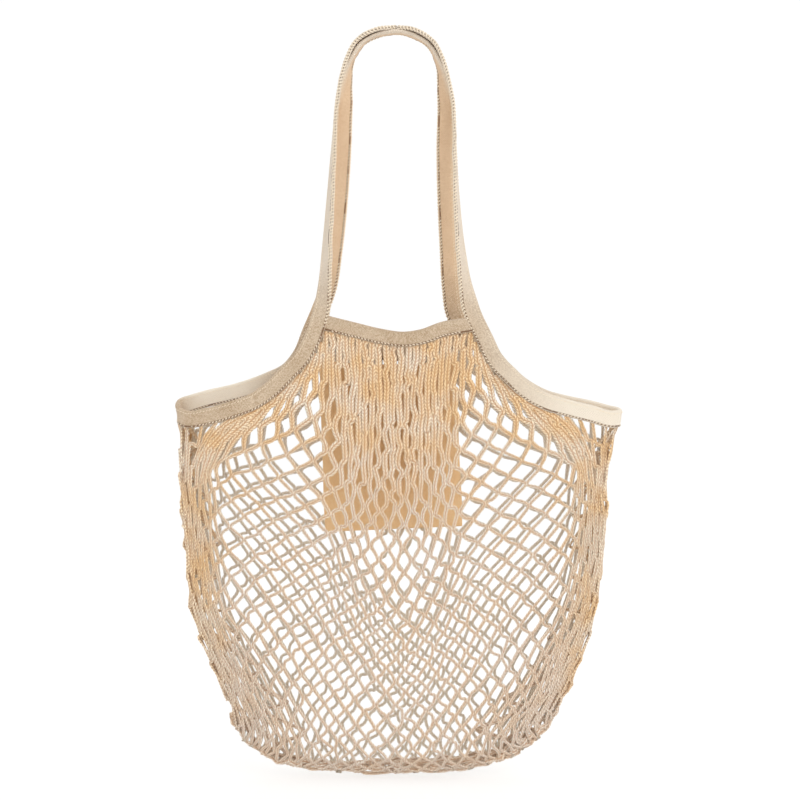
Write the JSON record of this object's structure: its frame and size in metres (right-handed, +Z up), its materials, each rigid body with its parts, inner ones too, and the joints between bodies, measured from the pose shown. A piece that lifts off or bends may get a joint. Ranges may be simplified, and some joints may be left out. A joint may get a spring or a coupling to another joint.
{
  "type": "string shopping bag",
  "caption": "Cream cotton string shopping bag hanging by two stacked tape handles, its net bound with folded tape and a small canvas pocket hanging inside.",
  "frame": {"origin": "the point where the bag hangs, under the middle of the two handles", "axes": "+Z up along the bag's length, the front faces -Y, +X to the right seen from the front"},
  "size_m": [0.3934, 0.099, 0.6566],
  "materials": {
    "net_cotton": "matte",
    "tape_cotton": "matte",
    "pocket_canvas": "matte"
  },
  "bodies": {
    "root": {"net_body": "net_cotton", "handle_tape": "tape_cotton", "front_band": "tape_cotton", "back_band": "tape_cotton", "inner_pocket": "pocket_canvas"}
  },
  "joints": []
}
